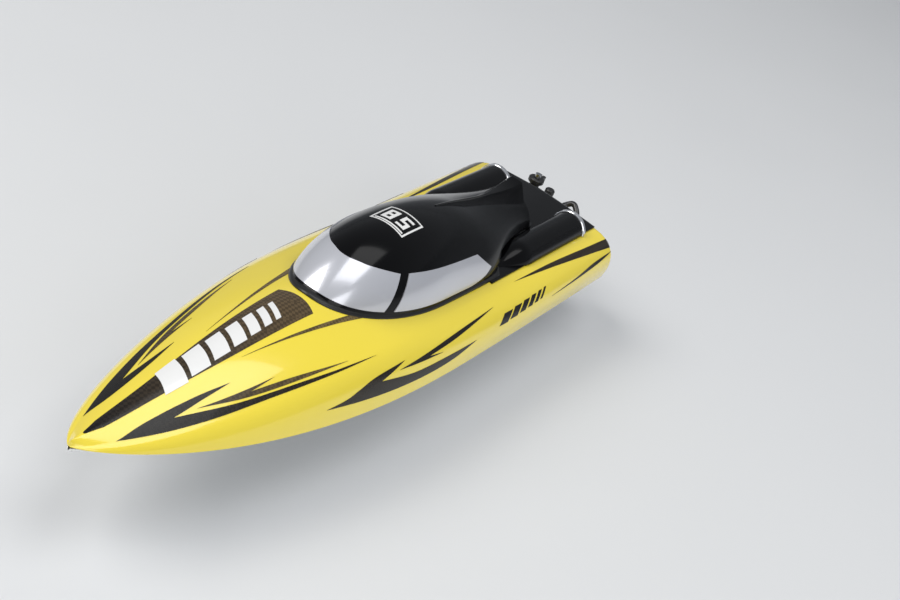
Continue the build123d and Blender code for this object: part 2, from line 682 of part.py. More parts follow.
# ------------------------------------------------------------------ inside the hull
def equipment():
    tray = box(-46, 46, -10, 54, TRAY_Z, TRAY_TOP) + box(-24, 24, -150, -10, TRAY_Z, TRAY_TOP)
    for x0, x1, y0, y1 in ((18, 22, -148, -140), (18, 22, -30, -22), (18, 22, 44, 52)):
        leg = box(x0, x1, y0, y1, 0, TRAY_Z) & cavity_low
        tray += leg
        tray += mirror_x(leg)
    parts["equipment_tray"] = tray
    pack = box(-17, 17, -145, -35, TRAY_TOP, 50)
    parts["battery_pack"] = pack
    parts["battery_strap"] = box(-18.5, 18.5, -102, -82, TRAY_TOP, 51.4) - pack
    controller = box(-20, 20, -6, 50, TRAY_TOP, 38)
    for k in range(7):
        controller += box(-18 + 5.5 * k, -15.5 + 5.5 * k, -2, 46, 38, 46)
    parts["speed_controller"] = controller
    parts["radio_receiver"] = box(25, 44, 2, 38, TRAY_TOP, 36)
    switch = box(-44, -30, 0, 22, TRAY_TOP, 34) - box(-39.6, -34.4, 4.6, 17.4, 31, 35)
    parts["power_switch"] = switch
    parts["switch_slider"] = box(-39, -35, 5, 11, 31.3, 37)
    block = box(50, 82, -110, 130, 34, 58) & (Pos(-0.4, 0, -0.4) * cavity_top)
    parts["foam_float_port"] = block
    parts["foam_float_starboard"] = mirror_x(block)


def magnets():
    x1, y0, y1 = MAGNET_X + 16, MAGNET_Y - 5, MAGNET_Y + 5
    parts["magnet_bar"] = box(-x1, x1, y0, y1, MAGNET_BAR_Z - 5, MAGNET_BAR_Z) & cavity_top
    low, high = [], []
    for x in (-MAGNET_X, MAGNET_X):
        low.append(post(x, MAGNET_Y, MAGNET_BAR_Z, MAGNET_GAP_Z, MAGNET_R).solids()[0])
        high.append(post(x, MAGNET_Y, MAGNET_GAP_Z + 0.3, MAGNET_GAP_Z + 2.8, MAGNET_R).solids()[0])
    parts["deck_magnets"] = Compound(children=low)
    parts["hatch_magnets"] = Compound(children=high)


for step in (
    shells, rear_deck, canopy, windows, drive_line, steering, servo, trim_tabs, fasteners,
    cooling, equipment, magnets,
):
    step()

os.makedirs("parts", exist_ok=True)
for name, shape in parts.items():
    export_step(shape, f"parts/{name}.step")
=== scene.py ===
import bmesh
import bpy
import json
import math
from math import cos, pi, radians, sin, sqrt
from mathutils import Matrix, Vector
from mathutils.geometry import delaunay_2d_cdt


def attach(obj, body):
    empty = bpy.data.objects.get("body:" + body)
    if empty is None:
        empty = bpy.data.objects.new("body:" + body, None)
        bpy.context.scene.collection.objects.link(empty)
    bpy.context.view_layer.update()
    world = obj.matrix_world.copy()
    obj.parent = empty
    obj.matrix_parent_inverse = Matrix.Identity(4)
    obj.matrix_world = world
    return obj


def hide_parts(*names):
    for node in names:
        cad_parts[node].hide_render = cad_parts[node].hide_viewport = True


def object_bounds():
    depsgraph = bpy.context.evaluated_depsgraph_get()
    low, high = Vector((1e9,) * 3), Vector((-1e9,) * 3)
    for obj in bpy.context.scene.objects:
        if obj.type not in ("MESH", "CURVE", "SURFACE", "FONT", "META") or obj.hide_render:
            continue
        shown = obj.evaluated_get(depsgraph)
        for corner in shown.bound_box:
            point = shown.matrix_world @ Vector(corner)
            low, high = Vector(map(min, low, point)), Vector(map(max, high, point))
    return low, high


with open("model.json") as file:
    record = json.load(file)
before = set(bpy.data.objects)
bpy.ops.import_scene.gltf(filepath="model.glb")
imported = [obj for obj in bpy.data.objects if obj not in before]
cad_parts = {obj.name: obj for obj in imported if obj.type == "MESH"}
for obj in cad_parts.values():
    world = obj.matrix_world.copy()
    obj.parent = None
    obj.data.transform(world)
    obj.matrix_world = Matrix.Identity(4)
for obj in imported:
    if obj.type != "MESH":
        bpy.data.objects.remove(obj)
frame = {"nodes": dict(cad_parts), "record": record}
cad_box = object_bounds()
MM = 0.001

# ------------------------------------------------------------------ camera
AZIMUTH, ELEVATION, ROLL = radians(20.3), radians(28.4), radians(23.7)
AIM = Vector((0.0525, 0.0398, 0.0753))
DISTANCE = 1.2
LENS = 65.96


def make_camera():
    level = Vector((cos(AZIMUTH), sin(AZIMUTH), 0))
    back = Vector((sin(AZIMUTH) * cos(ELEVATION), -cos(AZIMUTH) * cos(ELEVATION), sin(ELEVATION)))
    upright = back.cross(level)
    up = cos(ROLL) * upright - sin(ROLL) * level
    right = cos(ROLL) * level + sin(ROLL) * upright
    camera = bpy.data.objects.new("camera", bpy.data.cameras.new("camera"))
    bpy.context.scene.collection.objects.link(camera)
    turn = Matrix((right, up, back)).transposed().to_4x4()
    camera.matrix_world = Matrix.Translation(AIM + back * DISTANCE) @ turn
    camera.data.lens = LENS
    camera.data.sensor_width = 36
    camera.data.clip_start = 0.01
    camera.data.clip_end = 100
    bpy.context.scene.camera = camera


make_camera()

# ------------------------------------------------------------------ the hull's shape, in millimetres
HALF = 300.0
LIP_HALF, LIP_Z, LIP_RISE = 79, 31, 19
SHOULDER_HALF, SHOULDER_FLARE = 56, 4
BOW_EDGE, SHOULDER_RISE, SHOULDER_DROP = 50.5, 18, 3
BOW_CROWN, CROWN_RISE, CROWN_Z, CROWN_DROP = 54, 32, 86, 17
STEM_FOOT = 46
HATCH_HALF, HATCH_MID, HATCH_NOSE = 48.0, 40.0, 118.0
HATCH_END = 214.0
ROOF_Z, ROOF_Y, ROOF_NOSE, ROOF_SLOPE, ROOF_BEND, ROOF_END = 121, 25, 37, 50, 0.45, 95
HATCH_BACK, TAIL_START, TAIL_HALF, TAIL_TAPER = 128, 158, 27, 4
TAIL_END = TAIL_HALF - TAIL_TAPER
BODY_START, BODY_LENGTH = 108, 106
POD_X, POD_Z = 39.0, 65.5
DECK_V = 0.55
ROUND = 5.0
ROUND_Y = HALF - ROUND
STERN_HALF, SIDE_HEIGHT, BOTTOM_DEPTH = 78, 37, 32
FULLNESS = 0.58


def clamp(value, low=0.0, high=1.0):
    return max(low, min(high, value))


def ease(value):
    value = clamp(value)
    return value * value * (3 - 2 * value)


def along(y):
    return clamp((y + HALF) / (2 * HALF))


def lip(y):
    s = along(y)
    if s < 0.6:
        x = LIP_HALF * (1 - (1 - s / 0.6) ** 2.2) ** 0.75
    else:
        x = LIP_HALF - 2 * ((s - 0.6) / 0.4) ** 2
    return x, LIP_Z + LIP_RISE * max(0, 1 - s / 0.5) ** 2.4


def shoulder(y):
    s = along(y)
    if s < 0.45:
        x = SHOULDER_HALF * (1 - (1 - s / 0.45) ** 2) ** 0.8
    else:
        x = SHOULDER_HALF + SHOULDER_FLARE * ease((s - 0.5) / 0.5)
    z = BOW_EDGE + SHOULDER_RISE * ease(s / 0.45)
    if s > 0.45:
        z -= SHOULDER_DROP * ease((s - 0.45) / 0.25)
    return x, z


def crown(y):
    s = along(y)
    if s < 0.36:
        return BOW_CROWN + CROWN_RISE * sin(pi / 2 * (s / 0.36) ** 1.3)
    return CROWN_Z - CROWN_DROP * ease((s - 0.36) / 0.3)


def keel(y):
    return STEM_FOOT * max(0, 1 - along(y) / 0.42) ** 2.4


def side(y, t):
    (xl, zl), (xs, zs) = lip(y), shoulder(y)
    xc = 0.96 * xl + 10 * ease((along(y) - 0.3) / 0.7)
    zc = zl + 0.78 * (zs - zl)
    a, b, c = (1 - t) ** 2, 2 * t * (1 - t), t * t
    return a * xl + b * xc + c * xs, a * zl + b * zc + c * zs


def deck(y, x):
    xs, zs = shoulder(y)
    return crown(y) - (crown(y) - zs) * clamp(abs(x) / xs) ** 1.5


def hatch_half(y):
    if y < HATCH_MID:
        return HATCH_HALF * sqrt(max(0, 1 - ((HATCH_MID - y) / HATCH_NOSE) ** 2))
    if y < HATCH_BACK:
        return HATCH_HALF
    if y < TAIL_START:
        return HATCH_HALF + (TAIL_HALF - HATCH_HALF) * (y - HATCH_BACK) / (TAIL_START - HATCH_BACK)
    return TAIL_HALF - TAIL_TAPER * (y - TAIL_START) / (HATCH_END - TAIL_START)


def roof(y):
    if y < ROOF_Y:
        return ROOF_Z - ROOF_NOSE * ((ROOF_Y - y) / (ROOF_Y + HATCH_NOSE - HATCH_MID)) ** 2.8
    t, bend = (y - ROOF_Y) / (HATCH_END - ROOF_Y), ROOF_BEND
    if t < bend:
        return ROOF_Z - ROOF_SLOPE * t ** 1.8
    high = ROOF_Z - ROOF_SLOPE * bend ** 1.8
    slope = 1.8 * ROOF_SLOPE * bend ** 0.8
    low = high - slope * (1 - bend)
    return high - slope * (t - bend) + (ROOF_END - low) * ((t - bend) / (1 - bend)) ** 2


def body_half(y):
    """Half-width of the canopy's body, which runs on over the pods behind its foot."""
    if y < BODY_START:
        return hatch_half(y)
    return HATCH_HALF - (HATCH_HALF - TAIL_HALF) * ease((y - BODY_START) / BODY_LENGTH)


def section(y, v):
    """x and z of the upper shell; v goes from -1 at the starboard lip over the deck to 1 at the other."""
    def raw(w):
        a = abs(w)
        if a <= DECK_V:
            x = a / DECK_V * shoulder(y)[0]
            return math.copysign(x, w), deck(y, x)
        x, z = side(y, 1 - (a - DECK_V) / (1 - DECK_V))
        return math.copysign(x, w), z

    d = min(0.04, 1 - abs(v))
    (x0, z0), (x1, z1), (x2, z2) = raw(v - d), raw(v), raw(v + d)
    return (x0 + 2 * x1 + x2) / 4, (z0 + 2 * z1 + z2) / 4


def topside(y, v):
    """Point of the upper shell. Past ROUND_Y it follows the rounded edge of the transom."""
    if y <= ROUND_Y:
        x, z = section(y, v)
        return x, y, z
    turn = min((y - ROUND_Y) / ROUND, pi / 2)
    inset = ROUND * (1 - cos(turn))
    place = ROUND_Y + ROUND * sin(turn)
    x, z = section(place, v)
    low = lip(place)[1]
    return x * (1 - inset / STERN_HALF), place, low + (z - low) * (1 - inset / SIDE_HEIGHT)


def canopy(y, u):
    """Point of the canopy; u goes from -1 at its starboard foot over the roof to 1."""
    half = body_half(y)
    foot = deck(y, half)
    arch = abs(cos(u * pi / 2)) ** (2 * FULLNESS)
    return half * sin(u * pi / 2), y, foot + (roof(y) - foot) * arch


def canopy_top(y, x):
    half = body_half(y)
    foot = deck(y, half)
    return foot + (roof(y) - foot) * (1 - clamp(abs(x) / half) ** 2) ** FULLNESS


# ------------------------------------------------------------------ mesh tools
def link(name, mesh):
    obj = bpy.data.objects.new(name, mesh)
    bpy.context.scene.collection.objects.link(obj)
    return obj


def finish_mesh(name, bm, sharp=35.0):
    bmesh.ops.recalc_face_normals(bm, faces=bm.faces)
    mesh = bpy.data.meshes.new(name)
    bm.to_mesh(mesh)
    bm.free()
    mesh.transform(Matrix.Scale(MM, 4))
    mesh.polygons.foreach_set("use_smooth", [True] * len(mesh.polygons))
    mesh.set_sharp_from_angle(angle=radians(sharp))
    return link(name, mesh)


def grid_faces(bm, rows, close_rows=False, close_columns=False):
    """Quads between rows of points."""
    verts = [[bm.verts.new(p) for p in row] for row in rows]
    if close_rows:
        verts.append(verts[0])
    for a, b in zip(verts, verts[1:]):
        count = len(a)
        for k in range(count if close_columns else count - 1):
            bm.faces.new((a[k], a[(k + 1) % count], b[(k + 1) % count], b[k]))
    return verts


def thicken(bm, thick):
    """Gives an open sheet a second face, thick behind the first, and walls round its edges."""
    bm.normal_update()
    verts, faces = list(bm.verts), list(bm.faces)
    edges = [e for e in bm.edges if len(e.link_faces) == 1]
    twin = {}
    for v in verts:
        depth = thick(v.co) if callable(thick) else thick
        twin[v] = bm.verts.new(v.co - v.normal * depth)
    for f in faces:
        bm.faces.new([twin[v] for v in reversed(f.verts)])
    for e in edges:
        a, b = e.verts
        loop = e.link_loops[0]
        if loop.vert is not a:
            a, b = b, a
        bm.faces.new((b, a, twin[a], twin[b]))


def sheet(name, rows, thick, sharp=35.0):
    """Closed shell whose outer face is a grid of points that turn anticlockwise seen from outside."""
    bm = bmesh.new()
    grid_faces(bm, rows)
    bmesh.ops.remove_doubles(bm, verts=bm.verts, dist=1e-4)
    thicken(bm, thick)
    return finish_mesh(name, bm, sharp)


def turned(name, profile, centre, steps=64, sharp=35.0):
    """Solid of revolution about a line along Y through centre; the profile is (radius, y) points."""
    bm = bmesh.new()
    rows = []
    for k in range(steps):
        angle = 2 * pi * k / steps
        rows.append([(centre[0] + r * cos(angle), y, centre[1] + r * sin(angle)) for r, y in profile])
    grid_faces(bm, rows, close_rows=True)
    bmesh.ops.remove_doubles(bm, verts=bm.verts, dist=1e-4)
    return finish_mesh(name, bm, sharp)


def prism(name, outline, low, high):
    """Upright block over a plan outline."""
    bm = bmesh.new()
    grid_faces(bm, [[(x, y, z) for x, y in outline] for z in (low, high)], close_columns=True)
    for z in (low, high):
        bm.faces.new([v for v in bm.verts if abs(v.co.z - z) < 1e-3])
    return finish_mesh(name, bm)


def combine(obj, tool, operation="DIFFERENCE", sharp=35.0):
    """Boolean of obj with tool, which is used up."""
    change = obj.modifiers.new("change", "BOOLEAN")
    change.operation = operation
    change.solver = "EXACT"
    change.object = tool
    graph = bpy.context.evaluated_depsgraph_get()
    mesh = bpy.data.meshes.new_from_object(obj.evaluated_get(graph))
    obj.modifiers.clear()
    obj.data = mesh
    bpy.data.objects.remove(tool)
    bm = bmesh.new()
    bm.from_mesh(mesh)
    bmesh.ops.remove_doubles(bm, verts=bm.verts, dist=1e-7)
    bmesh.ops.dissolve_degenerate(bm, edges=bm.edges, dist=1e-7)
    bm.to_mesh(mesh)
    bm.free()
    mesh.polygons.foreach_set("use_smooth", [True] * len(mesh.polygons))
    mesh.set_sharp_from_angle(angle=radians(sharp))
    return obj


def smooth_chain(points, step=2.5, scale=100.0):
    """Catmull-Rom curve through (y, v) points, with a point about every step millimetres."""
    ends = [points[0]] + list(points) + [points[-1]]
    out = []
    for p0, p1, p2, p3 in zip(ends, ends[1:], ends[2:], ends[3:]):
        size = math.hypot(p2[0] - p1[0], (p2[1] - p1[1]) * scale)
        count = max(1, round(size / step))
        for k in range(count):
            t = k / count
            point = []
            for a, b, c, d in zip(p0, p1, p2, p3):
                square = (2 * a - 5 * b + 4 * c - d) * t * t
                cube = (3 * b - a - 3 * c + d) * t ** 3
                point.append(0.5 * (2 * b + (c - a) * t + square + cube))
            out.append(tuple(point))
    return out


def inside(p, outline):
    y, v = p
    hit = False
    for (y0, v0), (y1, v1) in zip(outline, outline[1:] + outline[:1]):
        if (v0 > v) != (v1 > v) and y < (y1 - y0) * (v - v0) / (v1 - v0) + y0:
            hit = not hit
    return hit


def patch(name, chains, surface, high, low, scale=100.0, step=2.5):
    """Thin closed piece on a surface; its chains are smooth (y, v) edges that meet at sharp corners."""
    outline = []
    for chain in chains:
        outline += smooth_chain(chain, step, scale)
    flat = [(y, v * scale) for y, v in outline]
    ys, vs = [p[0] for p in flat], [p[1] for p in flat]
    points = list(flat)
    rows = int((max(ys) - min(ys)) / step)
    columns = int((max(vs) - min(vs)) / step)
    for i in range(1, rows):
        for j in range(1, columns):
            p = (min(ys) + i * step, min(vs) + (j + 0.5 * (i % 2)) * step)
            clear = all((p[0] - q[0]) ** 2 + (p[1] - q[1]) ** 2 > (0.55 * step) ** 2 for q in flat)
            if clear and inside(p, flat):
                points.append(p)
    count = len(flat)
    edges = [(k, (k + 1) % count) for k in range(count)]
    found = delaunay_2d_cdt([Vector(p) for p in points], edges, [list(range(count))], 1, 1e-5)
    bm = bmesh.new()
    placed = []
    for p in found[0]:
        y, v = p[0], p[1] / scale
        here = Vector(surface(y, v))
        dy = Vector(surface(y + 0.4, v)) - Vector(surface(y - 0.4, v))
        dv = Vector(surface(y, v + 0.003)) - Vector(surface(y, v - 0.003))
        normal = dv.cross(dy).normalized()
        placed.append((bm.verts.new(here + normal * high), bm.verts.new(here + normal * low)))
    shared = {}
    for tri in found[2]:
        bm.faces.new([placed[k][0] for k in tri])
        bm.faces.new([placed[k][1] for k in reversed(tri)])
        for a, b in zip(tri, list(tri[1:]) + [tri[0]]):
            key = (min(a, b), max(a, b))
            shared.setdefault(key, []).append((a, b))
    for uses in shared.values():
        if len(uses) == 1:
            a, b = uses[0]
            bm.faces.new((placed[b][0], placed[a][0], placed[a][1], placed[b][1]))
    loose = [v for v in bm.verts if not v.link_faces]
    bmesh.ops.delete(bm, geom=loose, context="VERTS")
    return finish_mesh(name, bm)


# ------------------------------------------------------------------ materials
def socket(node, name, value):
    node.inputs[name].default_value = value


ROUGH_VARY = 0.25
COAT_ROUGH = 0.04


def material(name, colour, rough, metal=0.0, coat=0.0, vary=0.12, cloud=25.0, grain=900.0,
             bump=0.00001, specular=0.5):
    """Finish with slow colour drift, uneven roughness and a fine surface grain."""
    mat = bpy.data.materials.new(name)
    mat.use_nodes = True
    nodes, links = mat.node_tree.nodes, mat.node_tree.links
    shader = nodes["Principled BSDF"]
    place = nodes.new("ShaderNodeTexCoord").outputs["Object"]

    def noise(scale, detail):
        node = nodes.new("ShaderNodeTexNoise")
        socket(node, "Scale", scale)
        socket(node, "Detail", detail)
        links.new(place, node.inputs["Vector"])
        return node.outputs["Fac"]

    mix = nodes.new("ShaderNodeMix")
    mix.data_type = "RGBA"
    dark = [c * (1 - vary) for c in colour]
    mix.inputs[6].default_value = (*colour, 1)
    mix.inputs[7].default_value = (*dark, 1)
    links.new(noise(cloud, 4), mix.inputs[0])
    links.new(mix.outputs[2], shader.inputs["Base Color"])
    spread = nodes.new("ShaderNodeMapRange")
    socket(spread, "To Min", rough * (1 - ROUGH_VARY))
    socket(spread, "To Max", rough * (1 + ROUGH_VARY))
    links.new(noise(cloud * 3, 6), spread.inputs["Value"])
    links.new(spread.outputs["Result"], shader.inputs["Roughness"])
    relief = nodes.new("ShaderNodeBump")
    socket(relief, "Strength", 0.6)
    socket(relief, "Distance", bump)
    links.new(noise(grain, 3), relief.inputs["Height"])
    links.new(relief.outputs["Normal"], shader.inputs["Normal"])
    socket(shader, "Metallic", metal)
    socket(shader, "Coat Weight", coat)
    socket(shader, "Coat Roughness", COAT_ROUGH)
    socket(shader, "Specular IOR Level", specular)
    return mat


def carbon(name, front, rear, y0, y1):
    """Printed foil: a fine woven look. Its colour runs from the front tone to the rear tone along the
    hull: the foil's own dark print, with a painted reflection that grows or fades along it.
    """
    mat = material(name, (0.02, 0.02, 0.02), 0.24, coat=0.12, bump=0.000004, specular=0.25)
    nodes, links = mat.node_tree.nodes, mat.node_tree.links
    place = nodes.new("ShaderNodeTexCoord").outputs["Object"]
    split = nodes.new("ShaderNodeSeparateXYZ")
    links.new(place, split.inputs[0])
    # painted reflection: the colour fades from the front tone to the rear tone between y0 and y1
    reach = nodes.new("ShaderNodeMapRange")
    socket(reach, "From Min", y0 * MM)
    socket(reach, "From Max", y1 * MM)
    links.new(split.outputs["Y"], reach.inputs["Value"])
    reflection_tone = nodes.new("ShaderNodeMix")
    reflection_tone.data_type = "RGBA"
    reflection_tone.inputs[6].default_value = (*front, 1)
    reflection_tone.inputs[7].default_value = (*rear, 1)
    links.new(reach.outputs["Result"], reflection_tone.inputs[0])
    weave = nodes.new("ShaderNodeTexChecker")
    socket(weave, "Scale", 420.0)
    weave.inputs["Color1"].default_value = (1, 1, 1, 1)
    weave.inputs["Color2"].default_value = (0.55, 0.55, 0.55, 1)
    turn = nodes.new("ShaderNodeMapping")
    turn.inputs["Rotation"].default_value = (0, 0, radians(45))
    links.new(place, turn.inputs["Vector"])
    links.new(turn.outputs["Vector"], weave.inputs["Vector"])
    blend = nodes.new("ShaderNodeMix")
    blend.data_type = "RGBA"
    blend.blend_type = "MULTIPLY"
    blend.inputs[0].default_value = 1.0
    links.new(reflection_tone.outputs[2], blend.inputs[6])
    links.new(weave.outputs["Color"], blend.inputs[7])
    links.new(blend.outputs[2], nodes["Principled BSDF"].inputs["Base Color"])
    return mat


YELLOW = (0.95, 0.76, 0.06)
finishes = {
    "hull_white": dict(colour=(0.80, 0.81, 0.80), rough=0.16, coat=0.6, vary=0.05, bump=0.000006),
    "hull_yellow": dict(
        colour=YELLOW, rough=0.17,
        coat=0.8, vary=0.07, cloud=9, grain=260, bump=0.000012,
    ),
    "black_gloss": dict(
        colour=(0.0025, 0.0025, 0.003), rough=0.15,
        coat=0.05, specular=0.16, vary=0.3, cloud=12, grain=240, bump=0.00001,
    ),
    "window_silver": dict(
        colour=(0.62, 0.63, 0.68), rough=0.2,
        metal=0.35, coat=0.8, vary=0.1, cloud=14, grain=1400,
    ),
    "black_plastic": dict(
        colour=(0.018, 0.018, 0.019), rough=0.42,
        vary=0.35, cloud=60, grain=1500, bump=0.00005,
    ),
    "rim_silver": dict(
        colour=(0.78, 0.79, 0.82), rough=0.16,
        metal=0.85, coat=0.3, vary=0.08, cloud=60,
    ),
    "seal_rubber": dict(
        colour=(0.012, 0.012, 0.012), rough=0.38,
        vary=0.4, cloud=70, grain=1300, bump=0.00004,
    ),
    "steel": dict(
        colour=(0.52, 0.53, 0.55), rough=0.24,
        metal=1.0, vary=0.22, cloud=160, grain=1600, bump=0.00002,
    ),
    "aluminium": dict(
        colour=(0.66, 0.67, 0.69), rough=0.32,
        metal=1.0, vary=0.12, cloud=120, grain=1800, bump=0.00002,
    ),
    "jacket_blue": dict(
        colour=(0.03, 0.10, 0.42), rough=0.28,
        metal=0.9, vary=0.15, cloud=90, grain=1700,
    ),
    "brass": dict(
        colour=(0.66, 0.46, 0.17), rough=0.26,
        metal=1.0, vary=0.2, cloud=140, grain=1500, bump=0.00002,
    ),
    "battery_wrap": dict(
        colour=(0.02, 0.05, 0.22), rough=0.3,
        coat=0.3, vary=0.2, cloud=50, grain=700, bump=0.00006,
    ),
    "strap": dict(
        colour=(0.02, 0.02, 0.022), rough=0.9,
        vary=0.4, cloud=300, grain=2600, bump=0.0002, specular=0.2,
    ),
    "foam": dict(
        colour=(0.82, 0.82, 0.79), rough=0.85,
        vary=0.12, cloud=80, grain=900, bump=0.0004, specular=0.2,
    ),
    "hose": dict(
        colour=(0.02, 0.02, 0.022), rough=0.35,
        coat=0.2, vary=0.35, cloud=90, grain=1200, bump=0.00003,
    ),
    "servo_case": dict(
        colour=(0.028, 0.028, 0.032), rough=0.4,
        vary=0.3, cloud=70, grain=1500, bump=0.00004,
    ),
    "switch_red": dict(colour=(0.42, 0.015, 0.012), rough=0.3, coat=0.2, vary=0.15, cloud=80),
    "servo_white": dict(
        colour=(0.76, 0.76, 0.72), rough=0.4,
        vary=0.07, cloud=90, grain=1300, bump=0.00002,
    ),
}
paint = {name: material(name, **finish) for name, finish in finishes.items()}
# each foil's dark woven print is its own colour; the lighter, browner end of its front-to-rear drift is
# painted reflection
foil_black = carbon("foil_black", (0.006, 0.006, 0.006), (0.03, 0.022, 0.012), -300, -60)
foil_brown = carbon("foil_brown", (0.05, 0.034, 0.015), (0.16, 0.115, 0.045), -215, -90)
panel_foil = carbon("panel_foil", (0.012, 0.011, 0.011), (0.11, 0.075, 0.038), -280, -110)
side_foil = carbon("side_foil", (0.03, 0.022, 0.014), (0.012, 0.011, 0.01), -120, 60)
white_foil = material("white_foil", (0.86, 0.86, 0.85), 0.22, coat=0.6, vary=0.05)


def dress(obj, mat, body, slot_name, *nodes):
    """Gives a piece its finish and body, and hides the CAD nodes that it stands in for; slot_name is not
    used.
    """
    obj.data.materials.clear()
    obj.data.materials.append(mat)
    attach(obj, body)
    if nodes:
        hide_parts(*nodes)
    return obj


slots = {row["node"]: row["material_slot"] for row in frame["record"]["subparts"]}
for node, obj in frame["nodes"].items():
    obj.data.materials.clear()
    obj.data.materials.append(paint[slots[node]])

# ------------------------------------------------------------------ hull
V_STEPS = 80
CAP_STEPS = 8


def stations():
    ys = [-299.2, -298.4, -297, -295, -292.5, -290]
    y = -287.0
    while y < ROUND_Y - 1:
        ys.append(y)
        y += 3.0
    return ys + [ROUND_Y + ROUND * pi / 2 * k / 6 for k in range(7)]


def plan(inset, steps=90):
    """The canopy's plan outline, drawn in by inset."""
    half, nose = HATCH_HALF - inset, HATCH_NOSE - inset
    points = []
    for k in range(steps + 1):
        angle = pi * k / steps
        points.append((half * cos(angle), HATCH_MID - nose * sin(angle)))
    shoulder_x, end_x, end_y = TAIL_HALF - inset, TAIL_END - inset, HATCH_END - inset
    points += [(-half, HATCH_BACK), (-shoulder_x, TAIL_START), (-end_x, end_y)]
    points += [(end_x, end_y), (shoulder_x, TAIL_START), (half, HATCH_BACK)]
    return points


def upper_shell():
    """Deck and topsides as one moulding, open under the hatch."""
    rows = []
    vs = [k / V_STEPS for k in range(-V_STEPS, V_STEPS + 1)]
    first = [topside(-299.2, v) for v in vs]
    low = first[0][2]
    for k in range(3):
        rows.append([(x * 0.98, -299.5, low + (z - low) * (k / 3)) for x, y, z in first])
    for y in stations():
        rows.append([topside(y, v) for v in vs])
    edge = rows[-1]
    low = edge[0][2]
    for k in range(1, CAP_STEPS + 1):
        rows.append([(x, HALF, low + (z - low) * (1 - k / CAP_STEPS)) for x, y, z in edge])
    shell = sheet("upper_shell", rows, lambda p: min(2.0, 0.25 + 0.02 * (p.y + HALF)))
    hole = prism("hole", plan(7), 40, 130)
    combine(shell, hole)
    return dress(shell, paint["hull_yellow"], "hull", "hull_yellow", "deck_shell")


STRAKES = (0.36, 0.68)
STRAKE_WIDTH = 0.06


def bottom_point(y, q):
    """Underside; q goes from -1 at the starboard lip over the keel to 1, with two strakes a side."""
    xl, zl = lip(y)
    half = xl - 0.6
    zk = keel(y)
    slope = (zl - zk) / xl
    a = abs(q)
    x = a * half
    z = zk + slope * x
    for place in STRAKES:
        if place < a <= place + STRAKE_WIDTH:
            z = zk + slope * place * half
    return math.copysign(x, q), z


def lower_shell():
    """V bottom with its strakes and the lower half of the transom."""
    # rows crowd at the strakes' edges, which stay crisp
    marks = [0.0, 0.1, 0.2, 0.3, 0.359, 0.361, 0.39, 0.418, 0.422, 0.5]
    marks += [0.6, 0.679, 0.681, 0.71, 0.738, 0.742, 0.82, 0.9, 0.96, 1.0]
    qs = [-m for m in reversed(marks[1:])] + marks
    rows = []
    for y in stations():
        if y <= ROUND_Y:
            place, inset = y, 0.0
        else:
            turn = (y - ROUND_Y) / ROUND
            place, inset = ROUND_Y + ROUND * sin(turn), ROUND * (1 - cos(turn))
        low = lip(place)[1]
        row = []
        for q in reversed(qs):
            x, z = bottom_point(place, q)
            drop = (z - low) * (1 - inset / BOTTOM_DEPTH)
            row.append((x * (1 - inset / STERN_HALF), place, low + drop))
        rows.append(row)
    edge, low = rows[-1], rows[-1][0][2]
    for k in range(1, 5):
        rows.append([(x, HALF, low + (z - low) * (1 - k / 4)) for x, y, z in edge])
    shell = sheet("lower_shell", rows, lambda p: min(2.0, 0.2 + 0.02 * (p.y + HALF)))
    return dress(shell, paint["hull_white"], "hull", "hull_white", "hull_bottom")


COVER_START, COVER_HALF = 112.0, 52.0
COVER_RISE, COVER_THICK = 1.2, 1.35


def rear_cover():
    """Gloss cover that lies on the deck behind the hatch."""
    rows = []
    y = COVER_START
    places = []
    while y < ROUND_Y:
        places.append(y)
        y += 3.0
    places += [ROUND_Y + k for k in range(0, 5)]
    for y in places:
        reach = COVER_HALF / shoulder(y)[0] * DECK_V
        row = []
        for k in range(-40, 41):
            v = reach * k / 40
            here = Vector(topside(y, v))
            dy = Vector(topside(y + 0.3, v)) - Vector(topside(y - 0.3, v))
            dv = Vector(topside(y, v + 0.003)) - Vector(topside(y, v - 0.003))
            row.append(here + dv.cross(dy).normalized() * COVER_RISE)
        rows.append(row)
    cover = sheet("rear_cover", rows, COVER_THICK)
    combine(cover, prism("hole", plan(0.4), 40, 130))
    return dress(cover, paint["black_gloss"], "hull", "black_gloss", "rear_deck_cover")


def below_deck(raise_by):
    """Block under the deck's surface, used to trim what stands on it."""
    bm = bmesh.new()
    ys = [100 + 4 * k for k in range(49)]
    top = [[bm.verts.new((x, y, deck(y, x) + raise_by)) for x in range(-80, 81, 4)] for y in ys]
    bottom = [[bm.verts.new((x, y, 30)) for x in range(-80, 81, 4)] for y in ys]
    for grid, flip in ((top, 1), (bottom, -1)):
        for a, b in zip(grid, grid[1:]):
            for k in range(len(a) - 1):
                bm.faces.new((a[k], a[k + 1], b[k + 1], b[k])[::flip])
    for a, b in ((top[0], bottom[0]), (bottom[-1], top[-1])):
        for k in range(len(a) - 1):
            bm.faces.new((a[k], b[k], b[k + 1], a[k + 1]))
    for column in (0, -1):
        for k in range(len(ys) - 1):
            quad = (top[k][column], top[k + 1][column], bottom[k + 1][column], bottom[k][column])
            bm.faces.new(quad if column == 0 else quad[::-1])
    return finish_mesh("below", bm)


